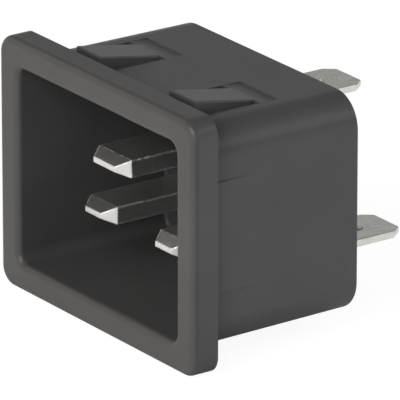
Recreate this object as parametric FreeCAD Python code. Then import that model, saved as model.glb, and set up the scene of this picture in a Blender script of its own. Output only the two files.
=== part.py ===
import FreeCAD, Part
import math
import os
from FreeCAD import Vector

# Appliance inlet for a panel, 16 A pattern, snapped into a sheet metal cut-out from the front.
# Millimetres. The origin is the middle of the panel's front face, where the flange seats.
# +X is to the right seen from the front, +Y goes through the panel, +Z is up.

# Socket that takes the connector
socket_width = 29.3
socket_height = 22.1
socket_corner_radius = 1.3
socket_floor_radius = 0.4
mouth_radius = 0.75

# Moulded walls round the socket
side_wall = 1.95
top_wall = 1.25
rear_wall = 2.9
body_depth = 19.2
body_corner_radius = 3.7
body_rear_radius = 0.3
draft_angle = 0.35

# Flange on the front of the panel
flange_thickness = 3.1
flange_lip_side = 1.45
flange_lip_top = 1.9
flange_corner_radius = 2.1
flange_edge_radius = 0.8

# Snap latches, two on the top wall and two on the bottom wall
panel_thickness_max = 2.0
panel_play = 0.08
latch_offset = 8.55
latch_width = 4.55
latch_reach = 1.35
latch_run = 8.1
latch_edge_radius = 0.18
latch_dip_depth = 0.2
latch_front_gap = 1.0
latch_groove_width = 1.15
latch_groove_depth = 0.5
latch_groove_length = 8.6
latch_relief_length = 10.9

# Tapered pads that centre the body in the cut-out
pad_height = 12.4
pad_centre_z = 0.45
pad_rise = 0.25
pad_run = 5.6

# Contact pins
pin_thickness = 2.0
live_pin_width = 5.0
earth_pin_width = 6.0
live_pin_spacing = 13.0
live_row_z = -3.7
earth_row_rise = 8.0
live_tip_setback = 4.2
earth_tip_setback = 1.2
tip_bevel_length = 1.5
tip_side_inset = 1.05
tip_face_inset = 0.71
pin_edge_radius = 0.15
pin_shoulder_side = 0.8
pin_shoulder_face = 0.25
stake_overhang = 0.5
stake_height = 0.6

# Push-on tabs, bent from sheet and staked to the pins
tab_width = 6.3
tab_thickness = 0.8
tab_bend_radius = 0.5
tab_edge_radius = 0.15
tab_reach = 10.8
tab_tip_chamfer_width = 1.0
tab_tip_chamfer_length = 1.3
tab_tip_coining = 0.12
tab_hole_diameter = 1.75
tab_hole_setback = 4.2
tab_foot_margin = 1.2
tab_foot_radius = 0.8
earth_blade_rise = 3.2
live_blade_drop = 3.4
live_blade_outset = 0.5
tab_recess_depth = 1.0

# Clearances
shank_clearance = 0.05
tab_recess_clearance = 0.1

# Derived places
front_y = -flange_thickness
draft = math.tan(math.radians(draft_angle))
body_width = socket_width + 2 * side_wall
body_height = socket_height + 2 * top_wall
body_top_z = body_height / 2
flange_width = body_width + 2 * flange_lip_side
flange_height = body_height + 2 * flange_lip_top
floor_y = body_depth - rear_wall
recess_y = body_depth - tab_recess_depth
tab_back_y = recess_y + tab_thickness
latch_front_y = panel_thickness_max + panel_play
latch_groove_y = latch_front_y - latch_front_gap
dip_front_y = latch_groove_y + latch_groove_length
dip_rear_y = latch_groove_y + latch_relief_length
earth_row_z = live_row_z + earth_row_rise
earth_blade_z = earth_row_z + earth_blade_rise
live_blade_z = live_row_z - live_blade_drop
AXIS_X = Vector(1, 0, 0)
AXIS_Z = Vector(0, 0, 1)
ORIGIN = Vector(0, 0, 0)


def rounded_outline(width, height, radius, y, x=0.0, z=0.0):
    """Closed wire of a rounded rectangle that lies across Y."""
    arcs = []
    for quarter, (sx, sz) in enumerate(((1, 1), (-1, 1), (-1, -1), (1, -1))):
        middle = Vector(x + sx * (width / 2 - radius), y, z + sz * (height / 2 - radius))
        points = []
        for angle in (90 * quarter, 90 * quarter + 45, 90 * quarter + 90):
            turn = math.radians(angle)
            points.append(middle + Vector(radius * math.cos(turn), 0, radius * math.sin(turn)))
        arcs.append(points)
    edges = []
    for points, following in zip(arcs, arcs[1:] + arcs[:1]):
        edges.append(Part.Arc(*points).toShape())
        edges.append(Part.LineSegment(points[-1], following[0]).toShape())
    return Part.Wire(edges)


def rounded_prism(width, height, radius, y_from, y_to, x=0.0, z=0.0):
    """Rounded rectangle drawn from one Y to another."""
    face = Part.Face(rounded_outline(width, height, radius, y_from, x, z))
    return face.extrude(Vector(0, y_to - y_from, 0))


def block(x_from, x_to, y_from, y_to, z_from, z_to):
    """Plain block between two corners."""
    corner = Vector(x_from, y_from, z_from)
    return Part.makeBox(x_to - x_from, y_to - y_from, z_to - z_from, corner)


def profile(points, depth):
    """Closed straight-sided outline, drawn along a vector."""
    return Part.Face(Part.makePolygon(points + points[:1])).extrude(depth)


def edges_across(shape, y, half_w=math.inf, half_h=math.inf):
    """Edges that lie flat at one Y, within a half width and a half height of the axis."""
    margin = 1e-3

    def lies_there(edge):
        box = edge.BoundBox
        flat = abs(box.YMin - y) < margin and abs(box.YMax - y) < margin
        inside_x = max(-box.XMin, box.XMax) < half_w + margin
        inside_z = max(-box.ZMin, box.ZMax) < half_h + margin
        return flat and inside_x and inside_z

    return [edge for edge in shape.Edges if lies_there(edge)]


def flange_and_body():
    """Flange and drafted body, hollowed by the socket, with its mouth rounded."""
    flange = rounded_prism(flange_width, flange_height, flange_corner_radius, front_y, 0.0)
    flange = flange.makeFillet(flange_edge_radius, edges_across(flange, front_y))
    taper = 2 * body_depth * draft
    at_panel = rounded_outline(body_width, body_height, body_corner_radius, 0.0)
    at_rear = rounded_outline(body_width - taper, body_height - taper, body_corner_radius, body_depth)
    body = Part.makeLoft([at_panel, at_rear], True, True)
    body = body.makeFillet(body_rear_radius, edges_across(body, body_depth))
    socket = rounded_prism(socket_width, socket_height, socket_corner_radius, front_y, floor_y)
    socket = socket.makeFillet(socket_floor_radius, edges_across(socket, floor_y))
    shell = flange.fuse(body).removeSplitter().cut(socket)
    mouth = edges_across(shell, front_y, socket_width / 2, socket_height / 2)
    return shell.makeFillet(mouth_radius, mouth)


def centring_pad():
    """Tapered pad on the right side wall, highest at the flange."""
    side_x = body_width / 2
    slope = pad_rise / pad_run + draft
    buried_run = 1.3 * pad_run
    inner_x = side_x - side_wall / 2
    points = [
        Vector(inner_x, 0, 0),
        Vector(side_x + pad_rise, 0, 0),
        Vector(side_x + pad_rise - slope * buried_run, buried_run, 0),
        Vector(inner_x, buried_run, 0),
    ]
    pad = profile(points, Vector(0, 0, pad_height))
    pad.translate(Vector(0, 0, pad_centre_z - pad_height / 2))
    return pad


def dip_floor(y):
    """Height of the dip behind a snap nose: level with the drafted wall at its front, deepest at its rear."""
    share = (y - dip_front_y) / (dip_rear_y - dip_front_y)
    return body_top_z - draft * y - share * latch_dip_depth


def latch_nose(x):
    """Snap nose on the top wall: a square front towards the panel and a ramp down to the dip."""
    crest_z = body_top_z + latch_reach
    root_z = body_top_z - top_wall / 2
    slope = (crest_z - dip_floor(latch_front_y + latch_run)) / latch_run
    points = [
        Vector(0, latch_front_y, root_z),
        Vector(0, latch_front_y, crest_z),
        Vector(0, latch_front_y + (crest_z - root_z) / slope, root_z),
    ]
    nose = profile(points, Vector(latch_width, 0, 0))
    rounded = [edge for edge in nose.Edges if edge.BoundBox.ZMax > crest_z - 1e-3]
    rounded = [edge for edge in rounded if edge.BoundBox.YLength > 1e-3 or edge.BoundBox.XLength > 1e-3]
    nose = nose.makeFillet(latch_edge_radius, rounded)
    nose.translate(Vector(x - latch_width / 2, 0, 0))
    return nose


def latch_relief(x):
    """Groove round the front and sides of a snap nose, and the shallow dip behind it."""
    above_z = body_top_z + latch_reach
    half_nose = latch_width / 2
    half_relief = half_nose + latch_groove_width
    groove_z = body_top_z - latch_groove_depth
    dip_points = [
        Vector(x - half_relief, dip_front_y, dip_floor(dip_front_y)),
        Vector(x - half_relief, dip_rear_y, dip_floor(dip_rear_y)),
        Vector(x - half_relief, dip_rear_y, above_z),
        Vector(x - half_relief, dip_front_y, above_z),
    ]
    dip = profile(dip_points, Vector(2 * half_relief, 0, 0))
    cuts = [block(x - half_relief, x + half_relief, latch_groove_y, latch_front_y, groove_z, above_z)]
    for inner, outer in ((half_nose, half_relief), (-half_relief, -half_nose)):
        cuts.append(block(x + inner, x + outer, latch_groove_y, dip_front_y, groove_z, above_z))
    return dip.fuse(cuts)


def make_housing(contacts):
    """The whole moulding: shell, pads, latches, and seats for the contacts."""
    shell = flange_and_body()
    pad = centring_pad()
    reliefs = []
    noses = []
    for x in (-latch_offset, latch_offset):
        for part, group in ((latch_relief(x), reliefs), (latch_nose(x), noses)):
            group.append(part)
            group.append(part.mirror(ORIGIN, AXIS_Z))
    seats = []
    for contact in contacts:
        seats.append(contact.shank_slot())
        seats.append(contact.foot_recess())
    shell = shell.fuse([pad, pad.mirror(ORIGIN, AXIS_X)])
    shell = shell.cut(reliefs)
    shell = shell.fuse(noses).removeSplitter()
    return shell.cut(seats)


class Contact:
    """One pin and the tab that is staked to its rear end."""

    def __init__(self, name, x, z, pin_width, tip_setback, blade_x, blade_z):
        self.name = name
        self.x = x
        self.z = z
        self.pin_width = pin_width
        self.tip_y = front_y + tip_setback
        self.blade_x = blade_x
        self.blade_z = blade_z
        self.out = 1 if blade_z > z else -1
        self.shank_width = pin_width - 2 * pin_shoulder_side
        self.shank_thickness = pin_thickness - 2 * pin_shoulder_face
        self.foot_z = z - self.out * (self.shank_thickness / 2 + tab_foot_margin)
        self.heel_z = blade_z + self.out * tab_thickness / 2

    def bar(self, width, thickness, y_from, y_to):
        """Straight bar centred on the pin's axis."""
        half_w = width / 2
        half_t = thickness / 2
        return block(self.x - half_w, self.x + half_w, y_from, y_to, self.z - half_t, self.z + half_t)

    def section(self, width, thickness, y):
        """Closed straight-sided wire across the pin's axis."""
        corners = []
        for sx, sz in ((1, 1), (-1, 1), (-1, -1), (1, -1), (1, 1)):
            corners.append(Vector(self.x + sx * width / 2, y, self.z + sz * thickness / 2))
        return Part.makePolygon(corners)

    def shank_slot(self):
        """Slot through the rear wall for the shank."""
        spread = 2 * shank_clearance
        return self.bar(self.shank_width + spread, self.shank_thickness + spread, floor_y, recess_y)

    def foot_recess(self):
        """Recess in the rear wall for the foot of the tab, its round corners clear of the bend."""
        radius = tab_foot_radius + tab_recess_clearance
        end_z = self.foot_z - self.out * tab_recess_clearance
        open_z = self.heel_z + self.out * radius
        width = tab_width + 2 * tab_recess_clearance
        height = abs(open_z - end_z)
        middle_z = (open_z + end_z) / 2
        return rounded_prism(width, height, radius, recess_y, body_depth, self.blade_x, middle_z)

    def make_pin(self):
        """Flat pin: bevelled tip, blade that shoulders on the socket floor, shank and staked end."""
        bevel_y = self.tip_y + tip_bevel_length
        blade = self.bar(self.pin_width, pin_thickness, bevel_y, floor_y)
        blade = blade.makeFillet(pin_edge_radius, [e for e in blade.Edges if e.BoundBox.YLength > 1e-3])
        tip_width = self.pin_width - 2 * tip_side_inset
        tip_thickness = pin_thickness - 2 * tip_face_inset
        narrow = self.section(tip_width, tip_thickness, self.tip_y)
        wide = self.section(self.pin_width, pin_thickness, bevel_y)
        tip = Part.makeLoft([narrow, wide], True, True)
        shank = self.bar(self.shank_width, self.shank_thickness, floor_y, tab_back_y)
        spread = 2 * stake_overhang
        stake_y = tab_back_y + stake_height
        stake = self.bar(self.shank_width + spread, self.shank_thickness + spread, tab_back_y, stake_y)
        stake = stake.makeFillet(stake_height / 2, edges_across(stake, stake_y))
        return blade.fuse([tip, shank, stake]).removeSplitter()

    def make_tab(self):
        """Tab bent from sheet: a foot flat on the rear wall, a bend and a blade to the rear."""
        end_y = body_depth + tab_reach
        inner_z = self.heel_z - self.out * tab_thickness
        bend_y = tab_back_y + tab_bend_radius
        bend_z = inner_z - self.out * tab_bend_radius
        outer_radius = tab_bend_radius + tab_thickness
        half_turn = math.sqrt(0.5)

        def at(y, z):
            return Vector(self.blade_x - tab_width / 2, y, z)

        def arc_middle(radius):
            return at(bend_y - radius * half_turn, bend_z + self.out * radius * half_turn)

        corners = [
            at(recess_y, self.foot_z),
            at(recess_y, bend_z),
            at(bend_y, self.heel_z),
            at(end_y, self.heel_z),
            at(end_y, inner_z),
            at(bend_y, inner_z),
            at(tab_back_y, bend_z),
            at(tab_back_y, self.foot_z),
        ]
        edges = []
        for index, start in enumerate(corners):
            end = corners[(index + 1) % len(corners)]
            if index == 1:
                edges.append(Part.Arc(start, arc_middle(outer_radius), end).toShape())
            elif index == 5:
                edges.append(Part.Arc(start, arc_middle(tab_bend_radius), end).toShape())
            else:
                edges.append(Part.LineSegment(start, end).toShape())
        strip = Part.Face(Part.Wire(edges)).extrude(Vector(tab_width, 0, 0))
        strip = self.round_foot(strip)
        strip = self.point_blade(strip, end_y)
        strip = self.ease_blade(strip, bend_y + outer_radius, end_y)
        spread = 2 * shank_clearance
        hole = self.bar(self.shank_width + spread, self.shank_thickness + spread, recess_y, tab_back_y)
        axis_foot = Vector(self.blade_x, end_y - tab_hole_setback, self.blade_z - tab_thickness)
        detent = Part.makeCylinder(tab_hole_diameter / 2, 2 * tab_thickness, axis_foot)
        return strip.cut([hole, detent])

    def round_foot(self, strip):
        """Round the two corners of the foot."""

        def at_foot(edge):
            box = edge.BoundBox
            return abs(box.ZMin - self.foot_z) < 1e-3 and box.ZLength < 1e-3 and box.YLength > 1e-3

        return strip.makeFillet(tab_foot_radius, [edge for edge in strip.Edges if at_foot(edge)])

    def point_blade(self, strip, end_y):
        """Clip the two corners of the blade's end, then coin its rim."""
        for side in (-1, 1):
            edge_x = self.blade_x + side * tab_width / 2
            low_z = self.blade_z - tab_thickness
            points = [
                Vector(edge_x, end_y - tab_tip_chamfer_length, low_z),
                Vector(edge_x, end_y, low_z),
                Vector(edge_x - side * tab_tip_chamfer_width, end_y, low_z),
            ]
            strip = strip.cut(profile(points, Vector(0, 0, 2 * tab_thickness)))

        def on_rim(edge):
            box = edge.BoundBox
            return box.YMin > end_y - tab_tip_chamfer_length - 1e-3 and box.ZLength < 1e-3

        return strip.makeChamfer(tab_tip_coining, [edge for edge in strip.Edges if on_rim(edge)])

    def ease_blade(self, strip, from_y, end_y):
        """Round the long edges of the blade, from a little behind the bend to its end."""
        middle = (self.blade_x, self.blade_z)
        bar = rounded_prism(tab_width, tab_thickness, tab_edge_radius, from_y, end_y, *middle)
        low = Vector(self.blade_x - tab_width, from_y, self.blade_z - tab_thickness)
        around = Part.makeBox(2 * tab_width, end_y - from_y, 2 * tab_thickness, low)
        return strip.cut(around.cut(bar))


def make_contacts():
    """The earth contact above, and the line and neutral contacts below it."""
    contacts = [Contact("earth", 0.0, earth_row_z, earth_pin_width, earth_tip_setback, 0.0, earth_blade_z)]
    for name, side in (("line", 1), ("neutral", -1)):
        pin_x = side * live_pin_spacing / 2
        blade_x = pin_x + side * live_blade_outset
        contacts.append(
            Contact(name, pin_x, live_row_z, live_pin_width, live_tip_setback, blade_x, live_blade_z)
        )
    return contacts


def main():
    """Build every piece and write it to its own file."""
    contacts = make_contacts()
    pieces = {"housing": make_housing(contacts)}
    for contact in contacts:
        pieces[contact.name + "_pin"] = contact.make_pin()
        pieces[contact.name + "_tab"] = contact.make_tab()
    os.makedirs("parts", exist_ok=True)
    for name, shape in pieces.items():
        if len(shape.Solids) != 1 or not shape.isValid():
            raise ValueError(name + " is not one valid solid")
        shape.Solids[0].exportStep("parts/" + name + ".step")
        print(name, round(shape.Volume, 2))


main()
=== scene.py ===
"""Looks of a snap-in panel inlet: a textured dark moulding, plated flat pins and brushed push-on tabs."""
import logging
import math
from dataclasses import dataclass
from enum import Enum

import bpy
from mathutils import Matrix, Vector


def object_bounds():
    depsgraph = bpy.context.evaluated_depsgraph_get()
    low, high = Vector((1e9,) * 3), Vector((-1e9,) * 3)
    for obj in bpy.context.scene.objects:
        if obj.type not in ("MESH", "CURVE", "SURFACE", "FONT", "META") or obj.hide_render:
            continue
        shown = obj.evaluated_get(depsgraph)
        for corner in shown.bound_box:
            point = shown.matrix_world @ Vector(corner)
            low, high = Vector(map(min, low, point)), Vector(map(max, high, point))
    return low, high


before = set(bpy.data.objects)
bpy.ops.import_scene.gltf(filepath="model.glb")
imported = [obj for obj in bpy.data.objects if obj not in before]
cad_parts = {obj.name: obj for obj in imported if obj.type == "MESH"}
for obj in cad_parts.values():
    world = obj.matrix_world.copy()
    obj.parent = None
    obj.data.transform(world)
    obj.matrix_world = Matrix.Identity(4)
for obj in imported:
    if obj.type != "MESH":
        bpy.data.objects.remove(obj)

CAD_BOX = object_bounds()
MM = 0.001
EDGE_SAMPLES = 6
SHADE_SAMPLES = 8
# Most of a noise texture's values lie in this span.
NOISE_SPAN = (0.3, 0.7)
# Open faces take the tones up to here on a finish's ramp, and edges take the rest: a painted highlight on the
# moulding, worn metal on the pins and tabs.
FACE_TONE = 0.7

log = logging.getLogger("panel_inlet")

Colour = tuple[float, float, float]
Point = tuple[float, float, float]
Span = tuple[float, float]

WARM_LIGHT: Colour = (1.0, 0.93, 0.86)
WHITE: Colour = (1.0, 1.0, 1.0)
BLACK: Colour = (0.0, 0.0, 0.0)


class BrushAxis(Enum):
    """Direction in which a metal surface was drawn or brushed."""

    X = 0
    Y = 1
    Z = 2


class Join(Enum):
    """Ways to join two values."""

    LARGER = "MAXIMUM"
    PRODUCT = "MULTIPLY"


class NodeGraph:
    """Thin wrapper round a node tree that adds nodes with their values and joins sockets."""

    def __init__(self, tree: bpy.types.NodeTree) -> None:
        """Start an empty graph.

        Args:
            tree: Node tree of a material or of the world. Its nodes are removed.
        """
        self.tree = tree
        self.tree.nodes.clear()

    def add(self, kind: str, **values: object) -> bpy.types.Node:
        """Add one node.

        Args:
            kind: Node type name without the ShaderNode prefix.
            **values: Input values by socket name in lower case with underscores, or node settings.

        Returns:
            The new node.
        """
        node = self.tree.nodes.new("ShaderNode" + kind)
        sockets = {s.name.lower().replace(" ", "_"): s for s in reversed(node.inputs)}
        for name, value in values.items():
            if name in sockets:
                sockets[name].default_value = value
            else:
                setattr(node, name, value)
        return node

    def link(self, source: bpy.types.NodeSocket, target: bpy.types.NodeSocket) -> None:
        """Join an output socket to an input socket."""
        self.tree.links.new(source, target)

    def noise(self, vector: bpy.types.NodeSocket, feature: float, detail: float) -> bpy.types.NodeSocket:
        """Add a noise texture.

        Args:
            vector: Coordinates to read, in metres.
            feature: Size of one blotch, in metres.
            detail: Octaves of finer noise on top.

        Returns:
            The noise value socket, about 0 to 1.
        """
        node = self.add("TexNoise", scale=1.0 / feature, detail=detail)
        self.link(vector, node.inputs["Vector"])
        return node.outputs["Fac"]

    def remap(self, value: bpy.types.NodeSocket, source: Span, result: Span) -> bpy.types.NodeSocket:
        """Map a value from one range to another, clamped.

        Args:
            value: Socket to map.
            source: Range that the value is read over.
            result: Range that comes out.

        Returns:
            The mapped value socket.
        """
        node = self.add("MapRange", from_min=source[0], from_max=source[1], to_min=result[0], to_max=result[1])
        self.link(value, node.inputs["Value"])
        return node.outputs["Result"]

    def ramp(self, factor: bpy.types.NodeSocket, stops: tuple[tuple[float, Colour], ...]) -> bpy.types.NodeSocket:
        """Grade between colours.

        Args:
            factor: Socket with the place on the ramp, 0 to 1.
            stops: Places and their linear colours, from the lowest place up.

        Returns:
            The colour socket.
        """
        node = self.add("ValToRGB")
        elements = node.color_ramp.elements
        while len(elements) < len(stops):
            elements.new(0.5)
        for element, (place, colour) in zip(elements, stops):
            element.position = place
            element.color = (*colour, 1.0)
        self.link(factor, node.inputs["Fac"])
        return node.outputs["Color"]

    def join(self, way: Join, first: bpy.types.NodeSocket, second: bpy.types.NodeSocket) -> bpy.types.NodeSocket:
        """Join two values into one.

        Args:
            way: How they are joined.
            first: One value.
            second: The other value.

        Returns:
            The socket with the result.
        """
        node = self.add("Math", operation=way.value)
        self.link(first, node.inputs[0])
        self.link(second, node.inputs[1])
        return node.outputs[0]

    def softened_edges(self, radius: float) -> bpy.types.NodeSocket:
        """Round the shading across sharp edges, as a mould or a press leaves them.

        Args:
            radius: Edge radius in metres.

        Returns:
            The normal socket.
        """
        return self.add("Bevel", radius=radius, samples=EDGE_SAMPLES).outputs["Normal"]

    def edge_mask(self, softened: bpy.types.NodeSocket, span: Span) -> bpy.types.NodeSocket:
        """Find the edges, where the softened normal leaves the surface's own.

        Args:
            softened: Normal socket of softened_edges.
            span: Cosines of the angle between the normals at which the mask starts and is full.

        Returns:
            The mask socket, 0 on open faces and 1 on edges.
        """
        match = self.add("VectorMath", operation="DOT_PRODUCT")
        self.link(softened, match.inputs[0])
        self.link(self.add("NewGeometry").outputs["Normal"], match.inputs[1])
        return self.remap(match.outputs["Value"], span, (0.0, 1.0))

    def bump(self, height: bpy.types.NodeSocket, normal: bpy.types.NodeSocket,
             depth: float, strength: float) -> bpy.types.NodeSocket:
        """Add fine relief.

        Args:
            height: Height socket, 0 to 1.
            normal: Normal to start from.
            depth: Height in metres that 1 stands for.
            strength: Share of the relief that shows.

        Returns:
            The normal socket.
        """
        node = self.add("Bump", distance=depth, strength=strength)
        self.link(height, node.inputs["Height"])
        self.link(normal, node.inputs["Normal"])
        return node.outputs["Normal"]


def new_graph(name: str) -> tuple[bpy.types.Material, NodeGraph]:
    """Make an empty node material.

    Args:
        name: Material name.

    Returns:
        The material and its graph.
    """
    material = bpy.data.materials.new(name)
    material.use_nodes = True
    return material, NodeGraph(material.node_tree)


@dataclass(frozen=True)
class MouldedPlastic:
    """Dark thermoplastic from a spark-eroded mould: fine matte grain, faint flow clouds, and lighter edges that are
    a painted highlight.

    Lengths are in metres, colours are linear, and spans are low and high values.
    """

    name: str
    dark: Colour
    light: Colour
    # Colour of the edges, lighter than the faces: a painted highlight.
    edge: Colour
    roughness: Span
    grain: float = 0.16 * MM
    grain_depth: float = 0.02 * MM
    grain_strength: float = 0.22
    cloud: float = 6.0 * MM
    cloud_span: Span = (0.25, 0.75)
    edge_radius: float = 0.12 * MM
    edge_span: Span = (0.98, 0.84)
    ior: float = 1.5

    def material(self) -> bpy.types.Material:
        """Build the node material.

        Returns:
            The material.
        """
        material, graph = new_graph(self.name)
        place = graph.add("TexCoord").outputs["Object"]
        clouds = graph.remap(graph.noise(place, self.cloud, detail=3.0), self.cloud_span, (0.0, FACE_TONE))
        grain = graph.noise(place, self.grain, detail=2.0)
        softened = graph.softened_edges(self.edge_radius)
        # The edge mask lifts the edges towards the edge colour: a painted highlight.
        tone = graph.join(Join.LARGER, clouds, graph.edge_mask(softened, self.edge_span))
        colour = graph.ramp(tone, ((0.0, self.dark), (FACE_TONE, self.light), (1.0, self.edge)))
        shader = graph.add("BsdfPrincipled", ior=self.ior)
        graph.link(colour, shader.inputs["Base Color"])
        graph.link(graph.remap(grain, NOISE_SPAN, self.roughness), shader.inputs["Roughness"])
        relief = graph.bump(grain, softened, self.grain_depth, self.grain_strength)
        graph.link(relief, shader.inputs["Normal"])
        output = graph.add("OutputMaterial")
        graph.link(shader.outputs["BSDF"], output.inputs["Surface"])
        return material


@dataclass(frozen=True)
class PlatedMetal:
    """Brass with a silver-coloured plating: drawn along one axis, rippled, stained, with dull worn edges.

    Lengths are in metres, colours are linear, and spans are low and high values.
    """

    name: str
    dark: Colour
    light: Colour
    edge: Colour
    roughness: Span
    edge_roughness: float
    brush: BrushAxis
    metallic: float = 1.0
    line_width: float = 0.09 * MM
    line_length: float = 4.0 * MM
    line_depth: float = 0.004 * MM
    line_strength: float = 0.35
    ripple: float = 0.55 * MM
    ripple_depth: float = 0.012 * MM
    ripple_strength: float = 0.3
    stain: float = 1.6 * MM
    stain_span: Span = (0.35, 0.6)
    edge_radius: float = 0.10 * MM
    edge_span: Span = (0.999, 0.975)
    edge_metallic: float = 0.15
    wear: float = 0.4 * MM
    wear_span: Span = (0.45, 0.60)
    wear_share: Span = (0.06, 1.0)

    def brush_scale(self) -> Point:
        """Stretch noise into lines along the brush axis.

        Returns:
            The scale for the noise's coordinates.
        """
        scale = [1.0, 1.0, 1.0]
        scale[self.brush.value] = self.line_width / self.line_length
        return tuple(scale)

    def material(self) -> bpy.types.Material:
        """Build the node material.

        Returns:
            The material.
        """
        material, graph = new_graph(self.name)
        place = graph.add("TexCoord").outputs["Object"]
        stretch = graph.add("Mapping", scale=self.brush_scale())
        graph.link(place, stretch.inputs["Vector"])
        lines = graph.noise(stretch.outputs["Vector"], self.line_width, detail=3.0)
        stains = graph.remap(graph.noise(place, self.stain, detail=4.0), self.stain_span, (0.0, FACE_TONE))
        softened = graph.softened_edges(self.edge_radius)
        patches = graph.remap(graph.noise(place, self.wear, detail=2.0), self.wear_span, self.wear_share)
        edges = graph.join(Join.PRODUCT, graph.edge_mask(softened, self.edge_span), patches)
        tone = graph.join(Join.LARGER, stains, edges)
        colour = graph.ramp(tone, ((0.0, self.dark), (FACE_TONE, self.light), (1.0, self.edge)))
        shader = graph.add("BsdfPrincipled")
        graph.link(colour, shader.inputs["Base Color"])
        graph.link(graph.remap(edges, (0.0, 1.0), (self.metallic, self.edge_metallic)), shader.inputs["Metallic"])
        scuffs = graph.remap(edges, (0.0, 1.0), (0.0, self.edge_roughness))
        brushed = graph.remap(lines, NOISE_SPAN, self.roughness)
        graph.link(graph.join(Join.LARGER, brushed, scuffs), shader.inputs["Roughness"])
        dents = graph.noise(place, self.ripple, detail=2.0)
        ripples = graph.bump(dents, softened, self.ripple_depth, self.ripple_strength)
        relief = graph.bump(lines, ripples, self.line_depth, self.line_strength)
        graph.link(relief, shader.inputs["Normal"])
        output = graph.add("OutputMaterial")
        graph.link(shader.outputs["BSDF"], output.inputs["Surface"])
        return material


HOUSING_FINISH = MouldedPlastic(
    name="moulded_dark_plastic",
    dark=(0.083, 0.083, 0.083),
    light=(0.097, 0.097, 0.097),
    # Lighter edges: a painted highlight.
    edge=(0.122, 0.122, 0.122),
    roughness=(0.32, 0.42),
)
PIN_FINISH = PlatedMetal(
    name="plated_pin",
    dark=(0.89, 0.89, 0.88),
    light=(0.97, 0.97, 0.96),
    edge=(0.97, 0.97, 0.96),
    roughness=(0.27, 0.34),
    edge_roughness=0.50,
    brush=BrushAxis.Y,
    metallic=0.95,
    line_length=0.8 * MM,
    line_strength=0.05,
    ripple_strength=0.5,
    edge_radius=0.24 * MM,
)
TAB_FINISH = PlatedMetal(
    name="brushed_tab",
    dark=(0.79, 0.79, 0.74),
    light=(0.89, 0.89, 0.84),
    edge=(0.93, 0.93, 0.90),
    roughness=(0.22, 0.34),
    edge_roughness=0.40,
    brush=BrushAxis.Y,
    line_width=0.06 * MM,
)


def deselect_all() -> None:
    """Clear the selection, so that an operator acts on nothing by accident."""
    bpy.ops.object.select_all(action="DESELECT")


def dress(node: str, material: bpy.types.Material) -> None:
    """Give a construction node a finished material.

    Args:
        node: Name of the node.
        material: Material for all its faces.
    """
    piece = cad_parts[node]
    piece.data.materials.clear()
    piece.data.materials.append(material)
    log.info("%s dressed in %s", node, material.name)


@dataclass
class Housing:
    """The moulding: flange, socket, body, latches and rear wall."""

    node: str = "housing"
    finish: MouldedPlastic = HOUSING_FINISH

    def build(self) -> None:
        """Dress the moulding."""
        dress(self.node, self.finish.material())


@dataclass
class Contacts:
    """The three flat pins and the push-on tabs that are staked to them."""

    poles: tuple[str, ...] = ("earth", "line", "neutral")
    pin_finish: PlatedMetal = PIN_FINISH
    tab_finish: PlatedMetal = TAB_FINISH

    def build(self) -> None:
        """Dress each pole's pin and tab."""
        pin_material = self.pin_finish.material()
        tab_material = self.tab_finish.material()
        for pole in self.poles:
            dress(pole + "_pin", pin_material)
            dress(pole + "_tab", tab_material)


@dataclass(frozen=True)
class Softbox:
    """A soft rectangular lamp that faces the inlet."""

    name: str
    azimuth: float
    elevation: float
    power: float
    distance: float = 0.9
    width: float = 0.45
    height: float = 0.45
    colour: Colour = WHITE

    def build(self, target: Vector) -> None:
        """Add the lamp.

        Args:
            target: Point that the lamp faces.
        """
        away = direction(self.azimuth, self.elevation)
        deselect_all()
        bpy.ops.object.light_add(type="AREA", location=target + away * self.distance,
                                 rotation=away.to_track_quat("Z", "Y").to_euler())
        lamp = bpy.context.object
        lamp.name = self.name
        lamp.data.shape = "RECTANGLE"
        lamp.data.size = self.width
        lamp.data.size_y = self.height
        lamp.data.color = self.colour
        lamp.data.energy = self.power
        log.info("%s placed", self.name)


def direction(azimuth: float, elevation: float) -> Vector:
    """Unit vector from the object towards a viewing direction.

    Args:
        azimuth: Degrees round the vertical, 0 in front of the flange and 90 on its right.
        elevation: Degrees above the horizon.

    Returns:
        The unit vector.
    """
    turn, lift = math.radians(azimuth), math.radians(elevation)
    return Vector((math.sin(turn) * math.cos(lift), -math.cos(turn) * math.cos(lift), math.sin(lift)))


def gradient_place(azimuth: float) -> float:
    """Place of an azimuth on a radial gradient, which starts on the left and runs once round."""
    return (azimuth + 90.0) / 360.0


def grey(level: float) -> tuple[float, float, float, float]:
    """Opaque grey of a linear level."""
    return (level, level, level, 1.0)


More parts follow.
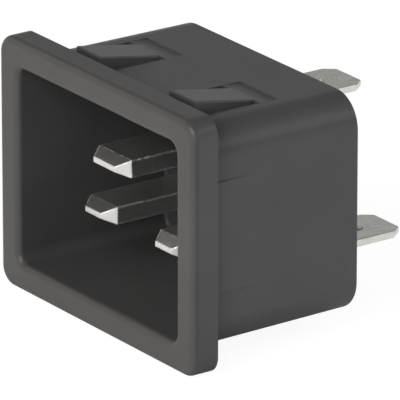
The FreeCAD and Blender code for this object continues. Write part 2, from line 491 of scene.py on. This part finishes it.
@dataclass
class Studio:
    """White floor, graded sky and soft lamps.

    Attributes:
        floor_side: Length of the floor's sides in metres.
        floor_albedo: Grey of the paper in the light that it sends back.
        seen_diffuse: Grey of the paper to the camera, where it takes the inlet's shadow.
        seen_glow: Glow that makes it white to the camera.
        mirrored_diffuse: Grey of the paper in reflections.
        mirrored_glow: Its glow in reflections, close to the inlet and in the open.
        open_share: Shares of open sky at which these two glows hold.
        shade_reach: Distance over which the inlet shades the glow.
        front_glow: Least glow in front of the flange, painted light in reflections.
        front_blend: Half the width over which it sets in.
        fade_share: Share of the glow that is left on the far left, painted shade in reflections.
        fade_reach: Places from left to right between which the glow fades.
        painted_reflection_tints: Tints of the floor in reflections by azimuth round the flange's right front edge: a
            painted warm reflection in front, painted shade in a black sector beside the camera, and a grey painted
            shade beyond.
        sky: Levels of the sky by elevation.
        lamps: The lamps.
    """

    floor_side: float = 8.0
    floor_albedo: float = 0.8
    seen_diffuse: float = 0.20
    seen_glow: float = 0.93
    mirrored_diffuse: float = 0.66
    mirrored_glow: Span = (0.05, 0.58)
    open_share: Span = (0.46, 0.86)
    shade_reach: float = 40.0 * MM
    front_glow: float = 0.42
    front_blend: float = 1.0 * MM
    fade_share: float = 0.66
    fade_reach: Span = (-80.0 * MM, -10.0 * MM)
    # Painted reflection tints: warm in front, black beside the camera as painted shade, grey beyond as painted
    # shade.
    painted_reflection_tints: tuple[tuple[float, Colour], ...] = (
        (51.0, (1.0, 0.98, 0.955)), (61.0, BLACK), (86.0, BLACK), (100.0, (0.86, 0.86, 0.86)),
    )
    sky: tuple[tuple[float, float], ...] = (
        (-5.0, 1.18), (5.0, 1.18), (7.0, 0.05), (18.5, 0.05), (21.0, 0.74), (27.0, 0.74), (29.5, 0.03), (60.0, 0.03),
        (72.0, 0.25),
    )
    lamps: tuple[Softbox, ...] = (
        Softbox("key_lamp", azimuth=30.0, elevation=32.0, power=2.60),
        Softbox("front_lamp", azimuth=0.0, elevation=32.0, power=1.32, colour=WARM_LIGHT),
        Softbox("left_lamp", azimuth=-62.0, elevation=34.0, power=0.42, colour=WARM_LIGHT),
        Softbox("rear_lamp", azimuth=140.0, elevation=42.0, power=0.62, width=0.9, height=0.7),
        Softbox("rear_spot", azimuth=140.0, elevation=32.0, power=0.42, width=0.35, height=0.35),
        Softbox("back_lamp", azimuth=200.0, elevation=45.0, power=0.08, width=0.6, height=0.6),
    )

    def build(self) -> None:
        """Make the floor, the sky and the lamps."""
        self.make_floor()
        self.make_sky()
        middle = (CAD_BOX[0] + CAD_BOX[1]) / 2
        for lamp in self.lamps:
            lamp.build(middle)

    def make_floor(self) -> None:
        """Lay the floor under the flange's lowest edge."""
        deselect_all()
        bpy.ops.mesh.primitive_plane_add(size=self.floor_side, location=(0.0, 0.0, CAD_BOX[0].z))
        floor = bpy.context.object
        floor.name = "studio_floor"
        bpy.ops.object.transform_apply(location=True, rotation=True, scale=True)
        floor.data.materials.append(self.floor_material())
        log.info("%s laid", floor.name)

    def floor_material(self) -> bpy.types.Material:
        """Build pale paper that is white to the camera, and that reflections see with painted light and shade:
        shaded near the inlet, lighter in front, darker to the left, tinted warm in front and black in a sector
        beside the camera.

        Returns:
            The material.
        """
        material, graph = new_graph("white_paper")
        lit = graph.add("BsdfDiffuse", color=grey(self.floor_albedo)).outputs[0]
        path = graph.add("LightPath").outputs
        mirrors = graph.join(Join.LARGER, path["Is Glossy Ray"], path["Is Transmission Ray"])
        mirrored = graph.add("Emission")
        graph.link(self.mirrored_strength(graph), mirrored.inputs["Strength"])
        # The tints by azimuth are painted reflection and painted shade; reflections see them, the camera does not.
        graph.link(self.tint_painted_reflection(graph, 1.0), mirrored.inputs["Color"])
        mirrored_paper = graph.add("BsdfDiffuse")
        graph.link(self.tint_painted_reflection(graph, self.mirrored_diffuse), mirrored_paper.inputs["Color"])
        seen_paper = graph.add("BsdfDiffuse", color=grey(self.seen_diffuse))
        seen = graph.add("Emission", strength=self.seen_glow)
        looks = ((mirrors, mirrored_paper, mirrored), (path["Is Camera Ray"], seen_paper, seen))
        for rays, paper, glow in looks:
            white = graph.add("AddShader")
            graph.link(paper.outputs[0], white.inputs[0])
            graph.link(glow.outputs[0], white.inputs[1])
            mix = graph.add("MixShader")
            graph.link(rays, mix.inputs[0])
            graph.link(lit, mix.inputs[1])
            graph.link(white.outputs[0], mix.inputs[2])
            lit = mix.outputs[0]
        output = graph.add("OutputMaterial")
        graph.link(lit, output.inputs["Surface"])
        return material

    def mirrored_strength(self, graph: NodeGraph) -> bpy.types.NodeSocket:
        """Grade the glow that reflections see with painted light and shade: painted shade close to the inlet from
        ambient occlusion, painted light in front and painted shade fading to the left.

        Args:
            graph: Graph of the floor's material.

        Returns:
            The strength socket.
        """
        openness = graph.add("AmbientOcclusion", samples=SHADE_SAMPLES, distance=self.shade_reach).outputs["AO"]
        # Painted shade in reflections close to the inlet, from ambient occlusion.
        shaded = graph.remap(openness, self.open_share, self.mirrored_glow)
        place = graph.add("SeparateXYZ")
        graph.link(graph.add("TexCoord").outputs["Object"], place.inputs[0])
        face = CAD_BOX[0].y
        blend = (face - self.front_blend, face + self.front_blend)
        # Painted light in reflections in front of the flange.
        front = graph.remap(place.outputs["Y"], blend, (self.front_glow, 0.0))
        # Painted shade in reflections towards the far left.
        fade = graph.remap(place.outputs["X"], self.fade_reach, (self.fade_share, 1.0))
        return graph.join(Join.PRODUCT, graph.join(Join.LARGER, shaded, front), fade)

    def tint_painted_reflection(self, graph: NodeGraph, level: float) -> bpy.types.NodeSocket:
        """Tint the floor round the flange's right front edge with painted reflections: faintly warm in front, which
        is a painted reflection, and black in a sector beside the camera and grey beyond, which are painted shade.

        Args:
            graph: Graph of the floor's material.
            level: Level of the open floor.

        Returns:
            The colour socket.
        """
        corner = graph.add("Mapping", location=(-CAD_BOX[1].x, -CAD_BOX[0].y, 0.0))
        graph.link(graph.add("TexCoord").outputs["Object"], corner.inputs["Vector"])
        turn = graph.add("TexGradient", gradient_type="RADIAL")
        graph.link(corner.outputs["Vector"], turn.inputs["Vector"])
        stops = tuple((gradient_place(azimuth), tuple(share * level for share in tint))
                      for azimuth, tint in self.painted_reflection_tints)
        return graph.ramp(turn.outputs["Fac"], stops)

    def make_sky(self) -> None:
        """Grade the sky in bands from a bright horizon to a grey zenith."""
        world = bpy.data.worlds.new("studio_sky")
        world.use_nodes = True
        bpy.context.scene.world = world
        graph = NodeGraph(world.node_tree)
        height = graph.add("SeparateXYZ")
        graph.link(graph.add("TexCoord").outputs["Generated"], height.inputs[0])
        sine = graph.remap(height.outputs["Z"], (-1.0, 1.0), (0.0, 1.0))
        stops = tuple(((math.sin(math.radians(elevation)) + 1.0) / 2.0, (level,) * 3)
                      for elevation, level in self.sky)
        background = graph.add("Background", strength=1.0)
        graph.link(graph.ramp(sine, stops), background.inputs["Color"])
        output = graph.add("OutputWorld")
        graph.link(background.outputs[0], output.inputs["Surface"])


@dataclass
class PhotoCamera:
    """Camera at the photo's viewing angle, worked out from the inlet's known sizes."""

    azimuth: float = 54.721
    elevation: float = 20.362
    distance: float = 778.15 * MM
    target: Point = (4.9552 * MM, 6.9494 * MM, -0.0846 * MM)
    focal_pixels: float = 7383.0
    picture_side: float = 400.0
    sensor_width: float = 36.0
    near_share: float = 0.01

    def build(self) -> None:
        """Add the camera and make it the scene's own."""
        away = direction(self.azimuth, self.elevation)
        deselect_all()
        bpy.ops.object.camera_add(location=Vector(self.target) + away * self.distance,
                                  rotation=away.to_track_quat("Z", "Y").to_euler())
        camera = bpy.context.object
        camera.name = "photo_camera"
        camera.data.sensor_width = self.sensor_width
        camera.data.lens = self.focal_pixels * self.sensor_width / self.picture_side
        camera.data.clip_start = self.distance * self.near_share
        bpy.context.scene.camera = camera
        log.info("%s placed", camera.name)


def main() -> None:
    """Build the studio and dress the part."""
    logging.basicConfig(level=logging.INFO, format="%(message)s")
    bpy.context.scene.view_settings.view_transform = "Standard"
    PhotoCamera().build()
    Studio().build()
    Housing().build()
    Contacts().build()


if __name__ == "__main__":
    main()
